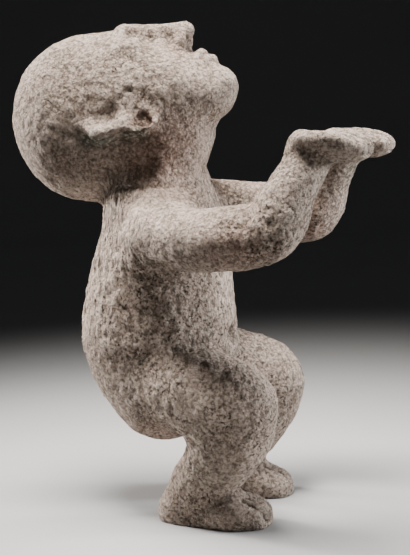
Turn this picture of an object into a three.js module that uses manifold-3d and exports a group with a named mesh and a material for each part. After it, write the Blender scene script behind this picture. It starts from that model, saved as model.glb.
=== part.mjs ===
// A crouching stone figurine with its head thrown back, carved from one block.
// Both arms reach out in front with the palms up, and it stands on its two bare feet.
// Millimetres, +Z up. The figure faces -Y and its right side is at -X.

import * as THREE from "three";
import { SimplifyModifier } from "three/addons/modifiers/SimplifyModifier.js";
import { MarchingCubes } from "three/addons/objects/MarchingCubes.js";
import { mergeVertices } from "three/addons/utils/BufferGeometryUtils.js";
import Module from "manifold-3d";

// Stone
const STONE_COLOUR = 0xa79c92;
const STONE_ROUGHNESS = 0.92;

// How finely the block is carved. A cell count that is a power of two keeps shared corners exactly equal.
const CELLS = 128;
const CELL = 2;
const SPAN = CELLS * CELL;
const BLOCK_CENTRE = place(0, -7, 116);
const MOST_TRIANGLES = 120000;
const TRIANGLES_KEPT = 9300;
const LEAST_DEPTH = 0.05;
const SAFE_SHARE = 0.6;
const OUTSIDE = 1000;

// The whole figure leans forward by this many degrees, so that its weight is over its feet
const LEAN = 2.2;

// Every limb is a list of sections: side, forward, up, half depth and half width

// Trunk, from the seat up to the throat
const TRUNK = [
  [0, -19.6, 58.8, 26.4, 31],
  [0, -22.7, 85, 38.5, 35],
  [0, -22, 108, 34.8, 34.5],
  [0, -20.5, 130, 30, 33],
  [0, -22.5, 150, 26, 28],
  [0, -24, 166, 23.5, 24],
  [0, -19.5, 183, 23.5, 22.5],
];
const CLEFT = [
  [0, -54, 62, 2, 2],
  [0, -48, 48, 3, 2],
  [0, -32, 36, 3, 2],
  [0, -12, 34, 3, 2],
];
const NAVEL = { side: 0, forward: 16.2, up: 88, half: [2.8, 4.2, 5] };

// Arms, from the shoulder to the wrist. The left shoulder is carved higher than the right one.
const RIGHT_ARM = [
  [27, -13, 137, 15, 15],
  [38.5, 6, 135, 14, 15],
  [44, 24, 137, 14, 15],
  [46, 42, 141, 13.8, 14.5],
  [43.5, 51.5, 159, 10.7, 11.8],
  [39, 57.5, 171, 9.5, 10.5],
];
const LEFT_ARM = [
  [27, -12, 143, 16, 16],
  [39, 7, 142, 15.5, 15.5],
  [45, 25, 141, 15, 15.5],
  [47, 42.5, 142, 14.4, 15],
  [43.5, 51.5, 159, 11, 12],
  [39, 57.5, 171, 9.8, 10.5],
];

// Hands, from the heel to the finger tips
const HAND = [
  [37.5, 56, 176.5, 8.2, 12],
  [37, 66, 177, 7, 14],
  [36.5, 74, 176.6, 7, 13],
  [36, 79.6, 176.4, 5.4, 11.5],
];
const THUMB = [
  [49, 57, 180.2, 3.6, 3.6],
  [50, 66, 180.8, 3.4, 3.4],
  [47.5, 73, 180, 3, 3],
];
const PALM_HOLLOW = { side: 36.5, forward: 64, up: 188.5, half: [9, 13, 6] };

// Legs, from the hip to the ankle
const THIGH = [
  [17, -15, 64, 22, 19],
  [25, 4, 63, 21.5, 20],
  [29, 19.5, 56.5, 23.5, 19],
];
const SHIN = [
  [28, 19.8, 46, 20.2, 17.5],
  [26, 15, 33, 16.4, 16],
  [24, 6, 20, 14.6, 13.5],
  [23, 1.5, 9, 14.5, 11],
];

// Feet, from the heel to the toes. The left heel reaches further back.
const FOOT = [
  [22.5, -4, 4, 12.6, 10],
  [23, 9, 6.5, 12, 12.5],
  [24, 21, 6, 11, 13.5],
  [23.5, 30.5, 5, 9.4, 11],
];
const LEFT_HEEL_BACK = 7;

// Head: where the chin is, how far it is thrown back in degrees, and its height from chin to crown
const CHIN = place(0, 17, 208);
const HEAD_TILT = 66;
const HEAD_HEIGHT = 98;

// The rest of the head is given upright: sideways, out of the face and up from the chin
const SKULL = [
  [0, -47.6, 58.8, 40.4, 30],
  [0, -37, 43.7, 38.3, 29.8],
  [0, -21, 27, 22, 25],
  [0, -13.5, 11, 13, 16.5],
];
const CHIN_KNOB = { side: 0, forward: -7.5, up: 7.5, half: [9, 8, 8] };
const EYE_UP = HEAD_HEIGHT / 2;
const NOSE_UP = HEAD_HEIGHT * 0.29;
const MOUTH_UP = HEAD_HEIGHT * 0.19;
const BROW = [
  [-20, -10.4, EYE_UP + 4.5, 2, 2],
  [-11, -3.6, EYE_UP + 8.5, 3.6, 3.6],
  [0, -3, EYE_UP + 8, 3.6, 3.6],
  [11, -3.6, EYE_UP + 8.5, 3.6, 3.6],
  [20, -10.4, EYE_UP + 4.5, 2, 2],
];
const EYE_SOCKET = { side: 13, forward: 1.2, up: EYE_UP - 0.5, half: [9.5, 6.5, 6] };
const EYE = { side: 13, forward: -7.4, up: EYE_UP - 1, half: [8, 5.2, 5] };
const NOSE = [
  [0, -2, EYE_UP + 6, 3.5, 3.4],
  [0, 2.2, EYE_UP - 4, 3.8, 4],
  [0, 8.2, NOSE_UP + 4.6, 4.8, 5],
];
const NOSE_WING = { side: 5, forward: 3.4, up: NOSE_UP + 3.2, half: [3.4, 4.6, 3.6] };
const UPPER_LIP = [
  [-10, -2.5, MOUTH_UP, 2, 2],
  [-4, 2, MOUTH_UP + 2.4, 2.4, 2.4],
  [4, 2, MOUTH_UP + 2.4, 2.4, 2.4],
  [10, -2.5, MOUTH_UP, 2, 2],
];
const LOWER_LIP = [
  [-9, -2.5, MOUTH_UP - 1, 2, 2],
  [0, 1.6, MOUTH_UP - 3, 2.9, 2.9],
  [9, -2.5, MOUTH_UP - 1, 2, 2],
];

// Ears: a plate lying along each side of the head, with its lower edge turned out, in degrees
const EAR = { side: 28.5, forward: -28, up: 186.5, half: [4.8, 15, 8.5] };
const EAR_LOBE = { side: 29.5, forward: -41, up: 184, half: [5.2, 8.6, 9.5] };
const EAR_FLARE = 40;
const EAR_RISE = 6;
const EAR_HOLLOW = { side: 33.5, forward: -35, up: 193.5, half: [5, 6.5, 4] };
const EAR_PIT = { side: 33.5, forward: -21.8, up: 189.5, half: [5.5, 3.1, 4.8] };

// Nostrils, drilled from the mouth of the hole to its bottom
const NOSTRIL = { radius: 1.5, mouth: [3.6, 6.2, NOSE_UP], bottom: [3.6, 5.2, NOSE_UP + 5] };
const DRILL_SIDES = 12;
const DRILL_OVERRUN = 6;

// Places and turns

function place(side, forward, up) {
  return new THREE.Vector3(side, -forward, up);
}

function turnForward(degrees) {
  return new THREE.Quaternion().setFromAxisAngle(new THREE.Vector3(1, 0, 0), THREE.MathUtils.degToRad(degrees));
}

const lean = turnForward(LEAN);
const headTurn = turnForward(-HEAD_TILT);

function placeOnHead(side, out, up) {
  return place(side, out, up).applyQuaternion(headTurn).add(CHIN);
}

function bothSides(make) {
  return [-1, 1].map(make);
}

// Forms. A form is a function of a point that gives the distance to its surface, negative inside.

function roundDistance(offset, half) {
  const x = offset.x / half.x;
  const y = offset.y / half.y;
  const z = offset.z / half.z;
  const near = Math.sqrt(x * x + y * y + z * z);
  const slope = Math.sqrt((x / half.x) ** 2 + (y / half.y) ** 2 + (z / half.z) ** 2);
  return slope > 0 ? (near * (near - 1)) / slope : -Math.min(half.x, half.y, half.z);
}

function ball(spot, side = 1, turn = new THREE.Quaternion(), put = place) {
  const centre = put(side * spot.side, spot.forward, spot.up);
  const half = new THREE.Vector3(...spot.half);
  const back = turn.clone().invert();
  const offset = new THREE.Vector3();
  return (point) => roundDistance(offset.copy(point).sub(centre).applyQuaternion(back), half);
}

function headBall(spot, side = 1) {
  return ball(spot, side, headTurn, placeOnHead);
}

// A limb runs along a smooth spine, and its girth changes as smoothly
function limb(sections, side = 1, put = place, steps = 4) {
  const spine = new THREE.CatmullRomCurve3(sections.map(([out, forward, up]) => put(side * out, forward, up)));
  const girth = new THREE.CatmullRomCurve3(sections.map(([, , , deep, wide]) => new THREE.Vector3(wide, deep, deep)));
  const count = (sections.length - 1) * steps;
  const points = Array.from({ length: count + 1 }, (_, index) => spine.getPoint(index / count));
  const halves = Array.from({ length: count + 1 }, (_, index) => girth.getPoint(index / count));
  const step = new THREE.Vector3();
  const offset = new THREE.Vector3();
  const half = new THREE.Vector3();
  return (point) => {
    let distance = OUTSIDE;
    for (let index = 0; index < count; index += 1) {
      step.subVectors(points[index + 1], points[index]);
      offset.subVectors(point, points[index]);
      const share = THREE.MathUtils.clamp(offset.dot(step) / step.lengthSq(), 0, 1);
      offset.addScaledVector(step, -share);
      half.lerpVectors(halves[index], halves[index + 1], share);
      distance = Math.min(distance, roundDistance(offset, half));
    }
    return distance;
  };
}

function headLimb(sections) {
  return limb(sections, 1, placeOnHead);
}

// The smaller of two distances, with the corner between their surfaces filled in
function melt(first, second, soft) {
  const overlap = Math.max(soft - Math.abs(first - second), 0) / soft;
  return Math.min(first, second) - (overlap * overlap * soft) / 4;
}

function join(soft, ...forms) {
  return (point) => forms.reduce((distance, form) => melt(distance, form(point), soft), OUTSIDE);
}

function cut(soft, form, ...tools) {
  return (point) => tools.reduce((distance, tool) => -melt(-distance, tool(point), soft), form(point));
}

// Parts of the body

function head() {
  const skull = join(5, headLimb(SKULL), headLimb(BROW), headBall(CHIN_KNOB));
  const hollowed = cut(5, skull, ...bothSides((side) => headBall(EYE_SOCKET, side)));
  const nose = join(2, headLimb(NOSE), ...bothSides((side) => headBall(NOSE_WING, side)));
  const eyes = bothSides((side) => headBall(EYE, side));
  return join(1.5, join(3, hollowed, nose), ...eyes, headLimb(UPPER_LIP), headLimb(LOWER_LIP));
}

function ear(side) {
  const rise = THREE.MathUtils.degToRad(-EAR_RISE);
  const flare = THREE.MathUtils.degToRad(side * -EAR_FLARE);
  const turn = new THREE.Quaternion().setFromEuler(new THREE.Euler(rise, flare, 0));
  return join(3, ball(EAR, side, turn), ball(EAR_LOBE, side, turn));
}

function arm(side) {
  const sections = side > 0 ? LEFT_ARM : RIGHT_ARM;
  const whole = join(4, limb(sections, side), limb(HAND, side), limb(THUMB, side));
  return cut(2, whole, ball(PALM_HOLLOW, side));
}

function leg(side) {
  const back = side > 0 ? LEFT_HEEL_BACK : 0;
  const foot = FOOT.map(([out, forward, ...rest], index) => {
    const slide = back * Math.max(0, 1 - index / 2);
    return [out, forward - slide, ...rest];
  });
  return join(3, limb(THIGH, side), limb(SHIN, side), limb(foot, side));
}

function figure() {
  const trunk = join(6, limb(TRUNK), head());
  const seated = cut(3, join(4, trunk, ...bothSides(leg)), limb(CLEFT));
  const whole = join(3, join(11, seated, ...bothSides(arm)), ...bothSides(ear));
  const hollows = bothSides((side) => [ball(EAR_HOLLOW, side), ball(EAR_PIT, side)]).flat();
  return cut(1.5, whole, ball(NAVEL), ...hollows);
}

// The surface of a form, carved cell by cell. Cells well away from the surface copy their neighbour.
function carve(form) {
  const cubes = new MarchingCubes(CELLS, new THREE.MeshBasicMaterial(), false, false, MOST_TRIANGLES);
  const point = new THREE.Vector3();
  const start = -CELLS / 2;
  let index = 0;
  for (let z = 0; z < CELLS; z += 1) {
    for (let y = 0; y < CELLS; y += 1) {
      let depth = 0;
      let clear = 0;
      for (let x = 0; x < CELLS; x += 1) {
        if (clear <= 0) {
          point.set(start + x, start + y, start + z).multiplyScalar(CELL).add(BLOCK_CENTRE);
          depth = -form(point);
          clear = Math.abs(depth) * SAFE_SHARE;
        }
        cubes.field[index] = Math.sign(depth) * Math.max(Math.abs(depth), LEAST_DEPTH);
        clear -= CELL;
        index += 1;
      }
    }
  }
  cubes.isolation = 0;
  cubes.update();
  const corners = cubes.geometry.getAttribute("position").array.slice(0, cubes.count * 3);
  const surface = new THREE.BufferGeometry();
  surface.setAttribute("position", new THREE.BufferAttribute(corners, 3));
  surface.scale(SPAN / 2, SPAN / 2, SPAN / 2);
  surface.translate(BLOCK_CENTRE.x, BLOCK_CENTRE.y, BLOCK_CENTRE.z);
  return mergeVertices(surface);
}

// The same surface with fewer and larger triangles where it is calm. Two go with each corner taken out.
function thin(surface, triangles) {
  const surplus = surface.getIndex().count / 3 - triangles;
  return new SimplifyModifier().modify(surface, Math.round(surplus / 2));
}

// Tools that cut the solid, already leaning with it

function drillBit(hole, side) {
  const [mouth, bottom] = [hole.mouth, hole.bottom].map(([out, ...rest]) => placeOnHead(side * out, ...rest));
  const way = new THREE.Vector3().subVectors(mouth, bottom);
  const length = way.length() + DRILL_OVERRUN;
  const bit = new THREE.CylinderGeometry(hole.radius, hole.radius, length, DRILL_SIDES);
  bit.translate(0, length / 2, 0);
  bit.applyQuaternion(new THREE.Quaternion().setFromUnitVectors(new THREE.Vector3(0, 1, 0), way.normalize()));
  bit.translate(bottom.x, bottom.y, bottom.z);
  return bit.applyQuaternion(lean);
}

function ground() {
  return new THREE.BoxGeometry(SPAN, SPAN, SPAN).translate(0, 0, -SPAN / 2);
}

// Solids

const wasm = await Module();
wasm.setup();

function toSolid(geometry) {
  const bare = geometry.clone();
  bare.deleteAttribute("normal");
  bare.deleteAttribute("uv");
  const merged = mergeVertices(bare);
  return new wasm.Manifold(
    new wasm.Mesh({
      numProp: 3,
      vertProperties: new Float32Array(merged.getAttribute("position").array),
      triVerts: new Uint32Array(merged.getIndex().array),
    })
  );
}

function toGeometry(solid) {
  const mesh = solid.getMesh();
  const geometry = new THREE.BufferGeometry();
  geometry.setAttribute("position", new THREE.BufferAttribute(mesh.vertProperties, 3));
  geometry.setIndex(new THREE.BufferAttribute(mesh.triVerts, 1));
  geometry.computeVertexNormals();
  return geometry;
}

// The finished piece, with its origin on the ground under the middle of its box

const rough = await thin(carve(figure()), TRIANGLES_KEPT);
const bits = bothSides((side) => drillBit(NOSTRIL, side));
const block = toSolid(rough.applyQuaternion(lean));
const solid = [...bits, ground()].reduce((left, tool) => left.subtract(toSolid(tool)), block);
const geometry = toGeometry(solid);
geometry.computeBoundingBox();
const middle = geometry.boundingBox.getCenter(new THREE.Vector3());
geometry.translate(-middle.x, -middle.y, 0);

const stone = new THREE.MeshStandardMaterial({ color: STONE_COLOUR, roughness: STONE_ROUGHNESS, metalness: 0 });
const piece = new THREE.Mesh(geometry, stone);
piece.name = "figure";

const model = new THREE.Group();
model.add(piece);

export default model;
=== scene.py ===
"""The crouching stone figurine, dressed: weathered volcanic stone on a pale studio floor."""

import math

import bpy
import numpy as np
from mathutils import Matrix, Vector
from mathutils.bvhtree import BVHTree
from mathutils.kdtree import KDTree


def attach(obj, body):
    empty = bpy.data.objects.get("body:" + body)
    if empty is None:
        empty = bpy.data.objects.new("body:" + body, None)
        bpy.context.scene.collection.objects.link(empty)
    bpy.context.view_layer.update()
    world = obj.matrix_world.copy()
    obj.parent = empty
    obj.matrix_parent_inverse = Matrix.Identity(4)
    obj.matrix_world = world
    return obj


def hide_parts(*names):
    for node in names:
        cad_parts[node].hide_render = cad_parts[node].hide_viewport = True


# Millimetres in a metre: lengths and places below are in millimetres, and the scene is in metres
MM = 1000.0

# How the solid stands: its lean in degrees, and where the middle of its box is
LEAN = 2.2
MIDDLE = (0.95, -1.25)

# Head: the chin, and how far the head is thrown back in degrees
CHIN = (0, 17, 208)
HEAD_TILT = 66

# Skin: the size of its mesh, and how its facets are smoothed without shrinking it
VOXEL = 1.15
SMOOTHING_ROUNDS = 8
SMOOTHING_IN = 0.55
SMOOTHING_OUT = -0.57

# Soles: points lower than the first height lie on the floor, and carving fades out below the second
SOLE_LEVEL = 0.3
SOLE_HEIGHT = 2.5

# Steady randomness: the seed of the whole figurine, then the numbers that scramble a cell's place
NOISE_SEED = 7
CELL_FACTORS = (73856093, 19349663, 83492791)
SEED_FACTOR = 15485863
MIXING_FACTOR = 1274126177
RANDOM_MASK = 0xFFFFFF

# Camera, aimed at the middle of the body: place by angles in degrees and distance
CAMERA_TARGET = (-0.8, -3.1, 112.8)
CAMERA_DISTANCE = 555
CAMERA_AZIMUTH = 196.55
CAMERA_ELEVATION = 7.43
CAMERA_ROLL = -2.13
CAMERA_LENS = 75
CAMERA_FILM = 36
CAMERA_NEAR = 10

# Grooves: half width and depth, then the points they run through, for the figurine's left side
TOE_GROOVES = [
    (1.1, 1.8, [(19.5, 26, 18), (20, 29, 16), (20.5, 34, 14), (20.6, 38, 10), (20.6, 41, 5)]),
    (1.1, 1.6, [(23.6, 28, 17), (23.8, 33, 14), (23.8, 38, 10), (23.8, 41, 5)]),
    (1.1, 1.6, [(26.8, 28, 17), (26.8, 33, 14), (26.4, 37, 10), (26.2, 40, 5)]),
    (1.1, 1.5, [(30.2, 27, 15), (30.0, 31, 12), (29.2, 35, 9), (28.8, 38, 5)]),
]
FINGER_GROOVES = [
    (1.2, 1.6, [(30.4, 67, 184), (30.2, 75, 183), (30.4, 83, 181), (30.8, 85.5, 177), (31, 85, 173)]),
    (1.2, 1.7, [(36, 66, 184), (36, 75, 183), (36, 84, 181), (36, 86.5, 177), (36, 86, 173)]),
    (1.2, 1.6, [(41.6, 67, 184), (41.8, 75, 183), (41.4, 83, 181), (41, 85.5, 177), (40.8, 85, 173)]),
]
THUMB_GROOVE = (1.2, 1.5, [(45.6, 57, 186), (46, 65, 186), (44.6, 73, 185)])
EAR_UNDERCUT = (3.0, 2.8, [(34, -50, 178), (36, -43, 176), (35, -30, 177.5), (34, -17, 180)])
EAR_PIT = (3.3, 4.2, [(34, -20, 190.5), (34, -20.5, 185.5)])
EAR_DIP = (4.5, 2.4, [(34, -42, 190), (34, -37, 191.5)])
NECK_CREASE = (1.3, 0.7, [(27, -38, 157), (27, -22, 157), (24, -8, 158), (17, 3, 160), (6, 8, 161)])

# Grooves in the middle of the body
NAVEL = (4.4, 2.8, [(-2, 24, 88), (2, 24, 88)])
SPINE_FURROW = (5.0, 1.2, [(0, -60, 146), (0, -62, 120), (0, -64, 95), (0, -60, 70)])

# Grooves of the face, in the head's own upright measures from the chin
EYE_LINE = (0.9, 0.9, [(6, 0, 46.5), (10, 1, 45.2), (14, 0, 45), (18, -2, 46), (20.5, -5, 47.5)])
LIP_LINE = (0.8, 0.9, [(-10, -1, 18.2), (-5, 3, 18.8), (0, 4, 18.2), (5, 3, 18.8), (10, -1, 18.2)])

# Places along a groove for each millimetre of its length
GROOVE_STEPS = 2

# Patches of the skin: side, forward, up, radius and strength. A patch off the middle lies on both sides.
EAR_TOP = [(34, -30, 194, 17, 1.5)]
ROUGH_PATCHES = [
    (31, -34, 200, 34, 0.75),
    (56, 36, 138, 30, 0.9),
    (34, -20, 100, 50, 0.7),
    (40, 4, 62, 36, 0.7),
    (30, 10, 30, 30, 0.4),
    (0, -60, 100, 60, 0.4),
]
SMOOTH_PATCHES = [
    (0, -50, 215, 40, 0.5),
    (0, -16, 226, 40, 0.7),
    (14, 4, 206, 26, 0.4),
    (46, 8, 150, 26, 0.6),
    (36, 72, 184, 26, 0.4),
    (24, 34, 14, 20, 0.4),
]
STREAKED_PATCHES = [
    (0, -62, 110, 62, 1.0),
    (20, -50, 130, 50, 0.9),
    (22, -34, 150, 34, 0.9),
    (0, 18, 110, 34, 0.9),
    (0, 6, 160, 22, 0.6),
    (24, -14, 30, 26, 0.8),
    (30, 30, 40, 24, 0.4),
]
RED_PATCHES = [
    (33, -20, 188.5, 8, 2.0),
    (15, -8, 226, 14, 0.55),
    (26, -10, 172, 30, 0.5),
    (36, 40, 140, 24, 0.6),
    (58, 30, 132, 22, 0.45),
    (24, -14, 36, 26, 0.25),
]
# Green film; the first five patches also lay painted shade along the underside of the ear's rim
GREEN_AND_SHADE_PATCHES = [
    (32, -49, 178, 8, 2.5),
    (33, -42, 178, 8, 2.5),
    (33, -35, 178, 8, 2.5),
    (32, -28, 178, 8, 2.5),
    (31, -21, 179, 8, 2.5),
    (38, 66, 168, 22, 0.6),
    (50, 44, 120, 20, 0.45),
    (36, 12, 40, 34, 0.4),
]

# The ear's top is smoothed more than the rest of the skin
EAR_ROUNDS = 40

# Roughness of the stone from 0 to 1: outside the patches, and nowhere less than the second
EVEN_ROUGHNESS = 0.35
LEAST_ROUGHNESS = 0.05

# Sets of waves: height, size and seed
TOOL_MARKS = [(0.55, 17, 1), (0.32, 8, 2)]
GRAIN = [(0.42, 3.6, 4), (0.30, 2.3, 5)]

# Upright ridges: the squeeze, size and seed of two sets, and their height everywhere and where streaked
SHARP_RIDGES = ((1, 1, 0.24), 3.6, 3)
FINE_RIDGES = ((1, 1, 0.3), 2.3, 6)
RIDGES_EVERYWHERE = 0.12
RIDGES_STREAKED = 0.75

# Pits: spacing, greatest radius, share of places that have one, and seed
SMALL_PITS = (3.1, 1.45, 0.75, 20)
SMALL_PIT_DEPTH = 0.75
LARGE_PITS = (9.5, 2.8, 0.3, 30)
LARGE_PIT_DEPTH = 0.6

# Raggedness of ridges, grain and large pits: size, reach and seed
RIDGE_WARP = (9, 1.6, 50)
GRAIN_WARP = (2.4, 1.1, 60)
PIT_WARP = (4, 2, 70)

# Hollows and edges: how many rounds of neighbours they are measured against, and what counts as full
HOLLOW_ROUNDS = 6
FULL_HOLLOW = 0.45

# Unevenness of the paint in a patch: mean, swing, size and seed
RED_UNEVEN = (0.8, 0.4, 6, 40)
GREEN_UNEVEN = (0.65, 0.5, 7, 41)

# Dark speckle: dense below this height and thinning out over this much above it, then how much of it is
# missing where the skin faces up and where it faces backwards, towards the top and back lamps, which makes
# it partly painted shade
SPECKLE_TOP = 145
SPECKLE_FADE = 40
SPECKLE_LOST_ON_TOP = 0.8
SPECKLE_LOST_BEHIND = 0.6

# Colours of the stone, as linear red, green and blue
PALE_STONE = (0.47, 0.365, 0.295)
BROWN_STONE = (0.26, 0.19, 0.145)
OLIVE_STONE = (0.16, 0.147, 0.108)
PINK_STONE = (0.42, 0.29, 0.24)
RED_PIGMENT = (0.33, 0.125, 0.08)
# Green film, also used as painted shade under the ear's rim
GREEN_FILM_AND_SHADE = (0.075, 0.09, 0.065)
# Dark grain, laid thicker where the skin faces away from the top and back lamps as painted shade
DARK_GRAIN_AND_SHADE = (0.022, 0.017, 0.012)
# Dirt and painted shade, laid in hollows and in the crust's crevices
DIRT_AND_SHADE = (0.07, 0.053, 0.038)
# Pale stone of worn edges and crystals, also used as painted highlight on the crust's crests
WORN_EDGE_AND_HIGHLIGHT = (0.66, 0.545, 0.46)

# Patterns of the stone: size, detail and roughness of a noise, and its values at the fade's two ends
TONE = (22, 4, 0.6, 0.38, 0.64)
OLIVE_TINGE = (15, 3, 0.6, 0.52, 0.70)
PINK_TINGE = (3, 3, 0.6, 0.50, 0.68)
MOTTLE = (4.0, 5, 0.7, 0.42, 0.62)
GRAINY_PLACES = (14, 3, 0.55, 0.36, 0.58)

# How much of each colour is laid over the ones before it
OLIVE_SHARE = 0.45
PINK_SHARE = 0.45
MOTTLE_SHARE = 0.35
WORN_SHARE = 0.45
HOLLOW_SHARE = 0.55
RED_SHARE = 0.85
CRYSTAL_SHARE = 0.30
GREEN_AND_SHADE_SHARE = 0.85
FLECK_SHARE = 0.9
CREVICE_SHADE_SHARE = 0.55
CREST_HIGHLIGHT_SHARE = 0.48

# Ragged edges of crystals, flecks and crust: size and reach
RAGGED_SIZE = 1.6
RAGGED_REACH = 1.1

# Crystals: size, and the tones between which they show
CRYSTAL_SIZE = 0.8
CRYSTAL_TONES = (0.35, 0.95)

# Dark flecks: size, detail and roughness, and the noise values where they begin and are full
FLECKS = (1.35, 3, 0.6)
DENSE_FLECKS = (0.455, 0.385)
SPARSE_FLECKS = (0.40, 0.32)
SPARSE_BY_ROUGHNESS = (0.1, 0.8, 0.25, 1.0)
LEAST_GRAINY = 0.45

# Crust of the stone: size, detail and roughness of its noise, and the share that rounded grains have in it
CRUST = (1.9, 4, 0.72)
CRUST_GRAIN_SIZE = 1.6
CRUST_GRAIN_EDGES = (0.9, 0.1)
CRUST_GRAIN_SHARE = 0.14
UPRIGHT_CRUST = (1.7, 2, 0.6)
UPRIGHT_SQUEEZE = (1, 1, 0.3)
# Crust heights where painted shade in its crevices and painted highlight on its crests begin and are full
CREVICES = (0.49, 0.40)
CRESTS = (0.52, 0.61)

# Relief of the material: strength and depth
FLECK_BUMP = (0.9, 0.55)
CRUST_BUMP = (1.0, 4.5)
SAND_BUMP = (0.7, 0.35)
SAND = (0.6, 3, 0.65)

# Shine of the stone
STONE_ROUGHNESS = (0.84, 0.97)
STONE_SPECULAR = 0.2

# Floor, in metres, and its shades
FLOOR_RADIUS = 1.3
BOWL_RADIUS = 0.9
FLOOR_STEPS = 96
BOWL_STEPS = 16
FLOOR_COLOUR = (0.34, 0.335, 0.33)
FLOOR_SHADE = 0.97
FLOOR_PATTERN = (220, 2, 0.55, 0.3, 0.7)
FLOOR_ROUGHNESS = 0.85

# Light, in metres: name, place, size, spread in degrees, power and colour, aimed at one place
LIGHT_TARGET = (0, 0, 0.13)
WARM_LIGHT = (1, 0.97, 0.94)
COOL_LIGHT = (0.94, 0.97, 1)
LIGHTS = [
    ("top", (-0.06, 0.05, 0.75), 0.32, 60, 3.0, WARM_LIGHT),
    ("back", (0.15, 0.75, 0.30), 0.15, 50, 1.6, WARM_LIGHT),
    ("front", (0.20, -0.75, 0.25), 0.15, 50, 1.0, COOL_LIGHT),
]
SKY_COLOUR = (0.9, 0.93, 1.0)
SKY_STRENGTH = 0.04

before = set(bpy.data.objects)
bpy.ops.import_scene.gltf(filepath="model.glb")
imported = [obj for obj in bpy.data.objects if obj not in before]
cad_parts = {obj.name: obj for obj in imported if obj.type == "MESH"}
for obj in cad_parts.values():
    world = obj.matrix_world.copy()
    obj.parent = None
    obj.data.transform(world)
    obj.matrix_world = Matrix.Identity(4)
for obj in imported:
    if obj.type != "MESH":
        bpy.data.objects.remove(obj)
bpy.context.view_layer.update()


# Places, from the figurine's own upright measures into the frame


def on_body(side, forward, up):
    lean = Matrix.Rotation(math.radians(LEAN), 3, "X")
    return lean @ Vector((side, -forward, up)) - Vector((*MIDDLE, 0))


def on_head(side, out, up):
    back = Matrix.Rotation(math.radians(-HEAD_TILT), 3, "X")
    x, y, z = back @ Vector((side, -out, up))
    return on_body(CHIN[0] + x, CHIN[1] - y, CHIN[2] + z)


# Steady randomness


def random_at(cells, seed):
    """A steady random value from 0 to 1 for each cell of a grid."""
    mixed = cells.astype(np.int64) @ np.array(CELL_FACTORS) + (seed + NOISE_SEED) * SEED_FACTOR
    mixed = (mixed ^ (mixed >> 13)) * MIXING_FACTOR
    mixed = mixed ^ (mixed >> 16)
    return (mixed & RANDOM_MASK) / RANDOM_MASK


def waves(points, size, seed):
    """Smooth noise from -1 to 1 whose bumps are about as large as size."""
    scaled = points / size
    cells = np.floor(scaled)
    share = scaled - cells
    share = share * share * (3 - 2 * share)
    total = np.zeros(len(points))
    for corner in np.ndindex(2, 2, 2):
        weight = np.prod(np.where(corner, share, 1 - share), axis=1)
        total += weight * random_at(cells + corner, seed)
    return total * 2 - 1


def sum_of_waves(points, sets):
    return sum(height * waves(points, size, seed) for height, size, seed in sets)


def pits(points, spacing, radius, share, seed):
    """Round hollows, 1 deep in their middle, in that share of the cells of a grid."""
    scaled = points / spacing
    cells = np.floor(scaled)
    depth = np.zeros(len(points))
    for step in np.ndindex(3, 3, 3):
        cell = cells + np.array(step) - 1
        centre = cell + np.stack([random_at(cell, seed + axis) for axis in (1, 2, 3)], axis=1)
        size = radius / spacing * (0.5 + 0.5 * random_at(cell, seed + 4))
        near = 1 - (np.linalg.norm(scaled - centre, axis=1) / size) ** 2
        depth = np.maximum(depth, np.where(random_at(cell, seed + 5) < share, near, 0))
    return depth


def warped(points, size, reach, seed):
    """The points, each moved a little, so that what is drawn at them gets a ragged outline."""
    return points + reach * np.stack([waves(points, size, seed + axis) for axis in range(3)], axis=1)


def patches(points, spots):
    """How strongly each point lies in any of the spots, on either side of the body."""
    total = np.zeros(len(points))
    for side, forward, up, radius, strength in spots:
        for way in {1, -1} if side else {1}:
            distance = np.linalg.norm(points - np.array(on_body(way * side, forward, up)), axis=1)
            near = np.clip(1 - distance / radius, 0, 1)
            total = np.maximum(total, strength * near * near * (3 - 2 * near))
    return total


# The skin: an even mesh over the solid, whose points are then moved


def even_skin(node):
    copy = bpy.data.objects.new("figurine", node.data.copy())
    bpy.context.scene.collection.objects.link(copy)
    remesh = copy.modifiers.new("even", "REMESH")
    remesh.mode = "VOXEL"
    remesh.voxel_size = VOXEL / MM
    graph = bpy.context.evaluated_depsgraph_get()
    mesh = bpy.data.meshes.new_from_object(copy.evaluated_get(graph))
    copy.modifiers.clear()
    copy.data = mesh
    mesh.name = "figurine"
    return copy


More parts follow.
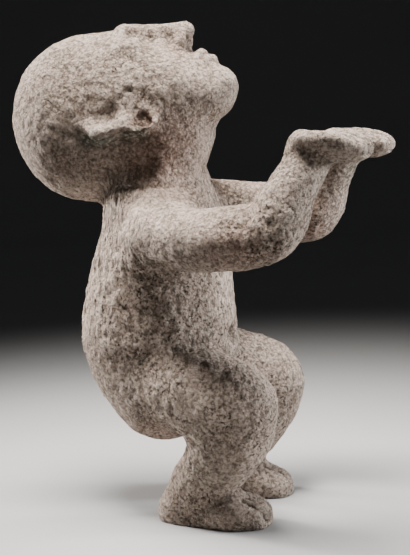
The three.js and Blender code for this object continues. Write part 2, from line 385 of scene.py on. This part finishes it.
class Skin:
    """The points of a mesh in millimetres, with the neighbours and normals that moving them needs."""

    def __init__(self, mesh):
        self.mesh = mesh
        self.points = np.zeros(len(mesh.vertices) * 3)
        mesh.vertices.foreach_get("co", self.points)
        self.points = self.points.reshape(-1, 3) * MM
        edges = np.zeros(len(mesh.edges) * 2, dtype=np.int64)
        mesh.edges.foreach_get("vertices", edges)
        ends = edges.reshape(-1, 2)
        self.first = np.concatenate([ends[:, 0], ends[:, 1]])
        self.second = np.concatenate([ends[:, 1], ends[:, 0]])
        self.count = np.bincount(self.first, minlength=len(self.points))
        self.floor = self.points[:, 2] < SOLE_LEVEL
        self.update()

    def update(self):
        """Puts the soles on the floor, writes the points to the mesh and reads its new normals."""
        self.points[self.floor, 2] = 0
        self.mesh.vertices.foreach_set("co", (self.points / MM).ravel())
        self.mesh.update()
        normals = np.zeros(len(self.points) * 3)
        self.mesh.vertex_normals.foreach_get("vector", normals)
        self.normals = normals.reshape(-1, 3)

    def around(self, values):
        """The mean of each point's neighbours."""
        sums = []
        for column in values.T:
            sums.append(np.bincount(self.first, weights=column[self.second], minlength=len(self.count)))
        return np.stack(sums, axis=1) / self.count[:, None]

    def smooth(self, rounds, pulls, share):
        """Pulls that share of each point towards its neighbours, or away from them by a negative pull."""
        for _ in range(rounds):
            for pull in pulls:
                self.points += pull * share * (self.around(self.points) - self.points)
        self.update()

    def push(self, heights):
        """Moves each point outwards, fading out towards the soles."""
        fade = np.clip(self.points[:, 2] / SOLE_HEIGHT, 0, 1)
        self.points += self.normals * (heights * fade)[:, None]
        self.update()

    def hollowness(self, rounds):
        """How far each point lies below its surroundings, in millimetres."""
        mean = self.points
        for _ in range(rounds):
            mean = self.around(mean)
        return np.einsum("ij,ij->i", mean - self.points, self.normals)

    def groove(self, half_width, depth, route):
        """Heights of a groove that follows the skin along a route of places."""
        tree = BVHTree.FromPolygons(self.points.tolist(), [face.vertices for face in self.mesh.polygons])
        steps = []
        for start, end in zip(route, route[1:]):
            count = max(2, int((end - start).length * GROOVE_STEPS))
            steps += [tree.find_nearest(start.lerp(end, index / count))[0] for index in range(count + 1)]
        line = KDTree(len(steps))
        for index, spot in enumerate(steps):
            line.insert(spot, index)
        line.balance()
        distance = np.array([line.find(point)[2] for point in self.points])
        return -depth * np.exp(-((distance / half_width) ** 2))


def both_sides(route):
    return [[(way * side, forward, up) for side, forward, up in route] for way in (1, -1)]


def groove_routes():
    """Every groove: half width, depth and route."""
    routes = []
    pairs = [*TOE_GROOVES, *FINGER_GROOVES, THUMB_GROOVE, EAR_UNDERCUT, EAR_PIT, EAR_DIP, NECK_CREASE]
    for half_width, depth, route in pairs:
        routes += [(half_width, depth, [on_body(*place) for place in one]) for one in both_sides(route)]
    routes += [(*EYE_LINE[:2], [on_head(*place) for place in one]) for one in both_sides(EYE_LINE[2])]
    routes.append((*LIP_LINE[:2], [on_head(*place) for place in LIP_LINE[2]]))
    for half_width, depth, route in (NAVEL, SPINE_FURROW):
        routes.append((half_width, depth, [on_body(*place) for place in route]))
    return routes


def carve_grooves(skin):
    heights = np.zeros(len(skin.points))
    for half_width, depth, route in groove_routes():
        heights = np.minimum(heights, skin.groove(half_width, depth, route))
    skin.push(heights)


def ridged(points, squeeze, size, seed):
    return waves(points * squeeze, size, seed)


def weather(skin, roughness, streaked):
    """Broad tool marks first, then upright ridges, grain and pits, deepest where the stone is rough."""
    skin.push(sum_of_waves(skin.points, TOOL_MARKS) * (0.5 + 0.5 * roughness))
    bent = warped(skin.points, *RIDGE_WARP)
    ridges = 0.5 - np.abs(ridged(bent, *SHARP_RIDGES)) + 0.5 * ridged(bent, *FINE_RIDGES)
    skin.push(ridges * (RIDGES_EVERYWHERE + RIDGES_STREAKED * streaked))
    bent = warped(skin.points, *GRAIN_WARP)
    grain = sum_of_waves(bent, GRAIN) * (0.4 + 0.9 * roughness)
    small = pits(bent, *SMALL_PITS) * (0.1 + 0.9 * roughness)
    large = pits(warped(skin.points, *PIT_WARP), *LARGE_PITS) * (0.3 + 0.7 * roughness)
    skin.push(grain - SMALL_PIT_DEPTH * small - LARGE_PIT_DEPTH * large)


# Layers of the skin that the material reads, worked out from where a point lies and how hollow it is


def uneven(points, strength, mean, swing, size, seed):
    """Paint of that strength, thicker here and thinner there."""
    return np.clip(strength * (mean + swing * waves(points, size, seed)), 0, 1)


def paint(skin, roughness, streaked):
    points = skin.points
    hollow = np.clip(skin.hollowness(HOLLOW_ROUNDS) / FULL_HOLLOW, -1, 1)
    low = np.clip((SPECKLE_TOP + SPECKLE_FADE - points[:, 2]) / SPECKLE_FADE, 0, 1)
    # Painted shade: the speckle thins where the skin faces up or backwards, towards the top and back lamps
    on_top = 1 - SPECKLE_LOST_ON_TOP * np.clip(skin.normals[:, 2], 0, 1)
    behind = 1 - SPECKLE_LOST_BEHIND * np.clip(skin.normals[:, 1], 0, 1)
    layers = {
        # How hollow each point is: the material darkens hollows with dirt and painted shade
        "hollow": np.clip(hollow, 0, 1),
        "worn": np.clip(-hollow, 0, 1),
        "red": uneven(points, patches(points, RED_PATCHES), *RED_UNEVEN),
        # Green film, and painted shade under the ear's rim
        "green": uneven(points, patches(points, GREEN_AND_SHADE_PATCHES), *GREEN_UNEVEN),
        "rough": roughness,
        "streaked": streaked,
        "speckle": low * on_top * behind,
    }
    for name, values in layers.items():
        layer = skin.mesh.attributes.new(name, "FLOAT", "POINT")
        layer.data.foreach_set("value", values.astype(np.float32))


# Materials


class Nodes:
    """A material's node tree, with a short way to add nodes and links."""

    def __init__(self, name):
        self.material = bpy.data.materials.new(name)
        self.material.use_nodes = True
        self.tree = self.material.node_tree
        self.shader = self.tree.nodes["Principled BSDF"]

    def add(self, kind, settings=None, **inputs):
        node = self.tree.nodes.new("ShaderNode" + kind)
        for name, value in (settings or {}).items():
            setattr(node, name, value)
        for name, value in inputs.items():
            self.set(node, name.replace("_", " "), value)
        return node

    def set(self, node, name, value):
        self.link(node.inputs[name], value)

    def link(self, socket, value):
        """Links the value if it comes from another node, and sets it as a constant if not."""
        if isinstance(value, bpy.types.NodeSocket):
            self.tree.links.new(value, socket)
        else:
            socket.default_value = (*value, 1) if isinstance(value, tuple) else value

    def place(self):
        return self.add("TexCoord").outputs["Object"]

    def layer(self, name):
        return self.add("Attribute", {"attribute_name": name}).outputs["Fac"]

    def noise(self, where, size, detail, roughness):
        node = self.add("TexNoise", Vector=where, Scale=MM / size, Detail=detail, Roughness=roughness)
        return node.outputs["Fac"]

    def pattern(self, where, size, detail, roughness, low, high, bottom=0.0, top=1.0):
        """A noise that fades from bottom to top while its value goes from low to high."""
        return self.ramp(self.noise(where, size, detail, roughness), low, high, bottom, top)

    def cell_tones(self, where, size):
        """A steady random value for each crystal of that size."""
        node = self.add("TexVoronoi", Vector=where, Scale=MM / size)
        parts = self.add("SeparateColor", Color=node.outputs["Color"])
        return parts.outputs["Red"]

    def cell_distance(self, where, size):
        """How far each place is from the middle of its grain: 0 there, near 1 between grains."""
        return self.add("TexVoronoi", Vector=where, Scale=MM / size).outputs["Distance"]

    def ragged(self, where, size, reach):
        """The place, moved by up to that reach, so that what is drawn there gets a ragged edge."""
        way = self.add("TexNoise", Vector=where, Scale=MM / size, Detail=2).outputs["Color"]
        node = self.add("VectorMath", {"operation": "MULTIPLY_ADD"})
        self.link(node.inputs[0], way)
        node.inputs[1].default_value = [reach / MM] * 3
        self.link(node.inputs[2], where)
        return node.outputs[0]

    def squeezed(self, where, squeeze):
        """The place in a squeezed space, so that what is drawn there comes out long."""
        node = self.add("VectorMath", {"operation": "MULTIPLY"})
        self.link(node.inputs[0], where)
        node.inputs[1].default_value = squeeze
        return node.outputs[0]

    def ramp(self, value, low, high, bottom=0.0, top=1.0):
        """Runs from bottom to top while the value goes from low to high."""
        node = self.add("MapRange", {"interpolation_type": "SMOOTHSTEP"}, Value=value)
        self.set(node, "From Min", low)
        self.set(node, "From Max", high)
        self.set(node, "To Min", bottom)
        self.set(node, "To Max", top)
        return node.outputs["Result"]

    def times(self, first, second):
        node = self.add("Math", {"operation": "MULTIPLY"})
        self.link(node.inputs[0], first)
        self.link(node.inputs[1], second)
        return node.outputs[0]

    def mix_values(self, share, first, second):
        node = self.add("Mix", {"data_type": "FLOAT"})
        self.link(node.inputs[0], share)
        self.link(node.inputs[2], first)
        self.link(node.inputs[3], second)
        return node.outputs[0]

    def mix(self, share, first, second):
        node = self.add("Mix", {"data_type": "RGBA"})
        self.link(node.inputs[0], share)
        self.link(node.inputs[6], first)
        self.link(node.inputs[7], second)
        return node.outputs[2]

    def cover(self, colour, mask, share, paint_colour):
        """The colour with that share of paint over it where the mask is full."""
        return self.mix(self.times(mask, share), colour, paint_colour)

    def bump(self, height, strength, depth, below=None):
        """A relief of that depth in millimetres, laid over the one below it."""
        node = self.add("Bump", Strength=strength, Distance=depth / MM, Height=height)
        if below:
            self.set(node, "Normal", below)
        return node.outputs["Normal"]


def stone_colour(nodes, where, mottle):
    """Pale and brown stone with olive and pink tinges, worn edges, dirt and painted shade in hollows, and
    old red pigment.
    """
    colour = nodes.mix(nodes.pattern(where, *TONE), BROWN_STONE, PALE_STONE)
    colour = nodes.cover(colour, nodes.pattern(where, *OLIVE_TINGE), OLIVE_SHARE, OLIVE_STONE)
    colour = nodes.cover(colour, nodes.pattern(where, *PINK_TINGE), PINK_SHARE, PINK_STONE)
    colour = nodes.cover(colour, mottle, MOTTLE_SHARE, BROWN_STONE)
    colour = nodes.cover(colour, nodes.layer("worn"), WORN_SHARE, WORN_EDGE_AND_HIGHLIGHT)
    # Dirt and painted shade in the hollows
    colour = nodes.cover(colour, nodes.layer("hollow"), HOLLOW_SHARE, DIRT_AND_SHADE)
    return nodes.cover(colour, nodes.layer("red"), RED_SHARE, RED_PIGMENT)


def dark_flecks(nodes, where, bent):
    """Dark flecks, dense on the lower body and sparse above it, and fewest where the stone is smooth;
    sparse where the skin faces the top and back lamps, which is painted shade.
    """
    flecks = nodes.noise(bent, *FLECKS)
    sparse = nodes.ramp(flecks, *SPARSE_FLECKS)
    sparse = nodes.times(sparse, nodes.ramp(nodes.layer("rough"), *SPARSE_BY_ROUGHNESS))
    flecks = nodes.mix_values(nodes.layer("speckle"), sparse, nodes.ramp(flecks, *DENSE_FLECKS))
    return nodes.times(flecks, nodes.pattern(where, *GRAINY_PLACES, LEAST_GRAINY, 1.0))


def crust_relief(nodes, bent):
    """The height of the crust: lumps with rounded grains, drawn out upright where it is streaked."""
    grains = nodes.ramp(nodes.cell_distance(bent, CRUST_GRAIN_SIZE), *CRUST_GRAIN_EDGES)
    crust = nodes.mix_values(CRUST_GRAIN_SHARE, nodes.noise(bent, *CRUST), grains)
    upright = nodes.noise(nodes.squeezed(bent, UPRIGHT_SQUEEZE), *UPRIGHT_CRUST)
    return nodes.mix_values(nodes.layer("streaked"), crust, upright)


def stone_material():
    nodes = Nodes("stone")
    where = nodes.place()
    bent = nodes.ragged(where, RAGGED_SIZE, RAGGED_REACH)
    mottle = nodes.pattern(where, *MOTTLE)
    flecks = dark_flecks(nodes, where, bent)
    relief = crust_relief(nodes, bent)

    colour = stone_colour(nodes, where, mottle)
    crystals = nodes.ramp(nodes.cell_tones(bent, CRYSTAL_SIZE), *CRYSTAL_TONES)
    colour = nodes.cover(colour, crystals, CRYSTAL_SHARE, WORN_EDGE_AND_HIGHLIGHT)
    # Green film, and painted shade under the ear's rim
    colour = nodes.cover(colour, nodes.layer("green"), GREEN_AND_SHADE_SHARE, GREEN_FILM_AND_SHADE)
    # Dark grain, thicker as painted shade where the skin faces away from the top and back lamps
    colour = nodes.cover(colour, flecks, FLECK_SHARE, DARK_GRAIN_AND_SHADE)
    # Painted shade in the crust's crevices and painted highlight on its crests, over its bump relief
    colour = nodes.cover(colour, nodes.ramp(relief, *CREVICES), CREVICE_SHADE_SHARE, DIRT_AND_SHADE)
    colour = nodes.cover(colour, nodes.ramp(relief, *CRESTS), CREST_HIGHLIGHT_SHARE, WORN_EDGE_AND_HIGHLIGHT)

    pitted = nodes.bump(nodes.times(flecks, -1.0), *FLECK_BUMP)
    crusted = nodes.bump(relief, *CRUST_BUMP, pitted)
    sandy = nodes.bump(nodes.noise(where, *SAND), *SAND_BUMP, crusted)
    nodes.set(nodes.shader, "Base Color", colour)
    nodes.set(nodes.shader, "Roughness", nodes.ramp(mottle, 0, 1, *STONE_ROUGHNESS))
    nodes.set(nodes.shader, "Specular IOR Level", STONE_SPECULAR)
    nodes.set(nodes.shader, "Normal", sandy)
    return nodes.material


def floor_material():
    nodes = Nodes("floor")
    tone = nodes.pattern(nodes.place(), *FLOOR_PATTERN)
    darker = tuple(FLOOR_SHADE * part for part in FLOOR_COLOUR)
    nodes.set(nodes.shader, "Base Color", nodes.mix(tone, darker, FLOOR_COLOUR))
    nodes.set(nodes.shader, "Roughness", FLOOR_ROUGHNESS)
    return nodes.material


# Studio


def floor_rings():
    """Radius and height of each ring of the floor, from its flat middle up its rim."""
    rings = [(FLOOR_RADIUS, 0.0)]
    for step in range(1, BOWL_STEPS + 1):
        angle = math.radians(90 * step / BOWL_STEPS)
        rings.append((FLOOR_RADIUS + BOWL_RADIUS * math.sin(angle), BOWL_RADIUS * (1 - math.cos(angle))))
    return rings


def floor():
    """A flat round floor whose far rim sweeps up, so that no horizon shows."""
    rings = floor_rings()
    points = [(0.0, 0.0, 0.0)]
    for radius, height in rings:
        for step in range(FLOOR_STEPS):
            angle = 2 * math.pi * step / FLOOR_STEPS
            points.append((radius * math.cos(angle), radius * math.sin(angle), height))
    faces = [(0, 1 + step, 1 + (step + 1) % FLOOR_STEPS) for step in range(FLOOR_STEPS)]
    for ring in range(len(rings) - 1):
        inner = 1 + ring * FLOOR_STEPS
        outer = inner + FLOOR_STEPS
        for step in range(FLOOR_STEPS):
            after = (step + 1) % FLOOR_STEPS
            faces.append((inner + step, outer + step, outer + after, inner + after))
    mesh = bpy.data.meshes.new("floor")
    mesh.from_pydata(points, [], faces)
    mesh.polygons.foreach_set("use_smooth", [True] * len(mesh.polygons))
    mesh.materials.append(floor_material())
    surface = bpy.data.objects.new("floor", mesh)
    bpy.context.scene.collection.objects.link(surface)


def soft_light(name, place, size, spread, power, colour):
    light = bpy.data.lights.new(name, "AREA")
    light.shape = "DISK"
    light.size = size
    light.spread = math.radians(spread)
    light.energy = power
    light.color = colour
    lamp = bpy.data.objects.new(name, light)
    lamp.location = place
    lamp.rotation_euler = (Vector(place) - Vector(LIGHT_TARGET)).to_track_quat("Z", "Y").to_euler()
    bpy.context.scene.collection.objects.link(lamp)


def studio():
    world = bpy.data.worlds.new("studio")
    world.use_nodes = True
    background = world.node_tree.nodes["Background"]
    background.inputs["Color"].default_value = (*SKY_COLOUR, 1)
    background.inputs["Strength"].default_value = SKY_STRENGTH
    bpy.context.scene.world = world
    for light in LIGHTS:
        soft_light(*light)


def camera():
    azimuth = math.radians(CAMERA_AZIMUTH)
    elevation = math.radians(CAMERA_ELEVATION)
    level = math.cos(elevation)
    away = Vector((math.cos(azimuth) * level, math.sin(azimuth) * level, math.sin(elevation)))
    lens = bpy.data.cameras.new("camera")
    lens.lens = CAMERA_LENS
    lens.sensor_fit = "VERTICAL"
    lens.sensor_height = CAMERA_FILM
    lens.clip_start = CAMERA_NEAR / MM
    view = bpy.data.objects.new("camera", lens)
    roll = Matrix.Rotation(math.radians(CAMERA_ROLL), 3, "Z").to_quaternion()
    view.rotation_euler = (away.to_track_quat("Z", "Y") @ roll).to_euler()
    view.location = (Vector(CAMERA_TARGET) + away * CAMERA_DISTANCE) / MM
    bpy.context.scene.collection.objects.link(view)
    bpy.context.scene.camera = view


def figurine():
    piece = even_skin(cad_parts["figure"])
    skin = Skin(piece.data)
    skin.smooth(SMOOTHING_ROUNDS, (SMOOTHING_IN, SMOOTHING_OUT), 1)
    ear_top = np.clip(patches(skin.points, EAR_TOP), 0, 1)
    skin.smooth(EAR_ROUNDS, (SMOOTHING_IN,), ear_top[:, None])
    carve_grooves(skin)
    roughness = EVEN_ROUGHNESS + patches(skin.points, ROUGH_PATCHES) - patches(skin.points, SMOOTH_PATCHES)
    roughness = np.clip(roughness, LEAST_ROUGHNESS, 1)
    streaked = patches(skin.points, STREAKED_PATCHES)
    weather(skin, roughness, streaked)
    paint(skin, roughness, streaked)
    piece.data.polygons.foreach_set("use_smooth", [True] * len(piece.data.polygons))
    piece.data.materials.clear()
    piece.data.materials.append(stone_material())
    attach(piece, "root")
    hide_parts("figure")


camera()
studio()
floor()
figurine()
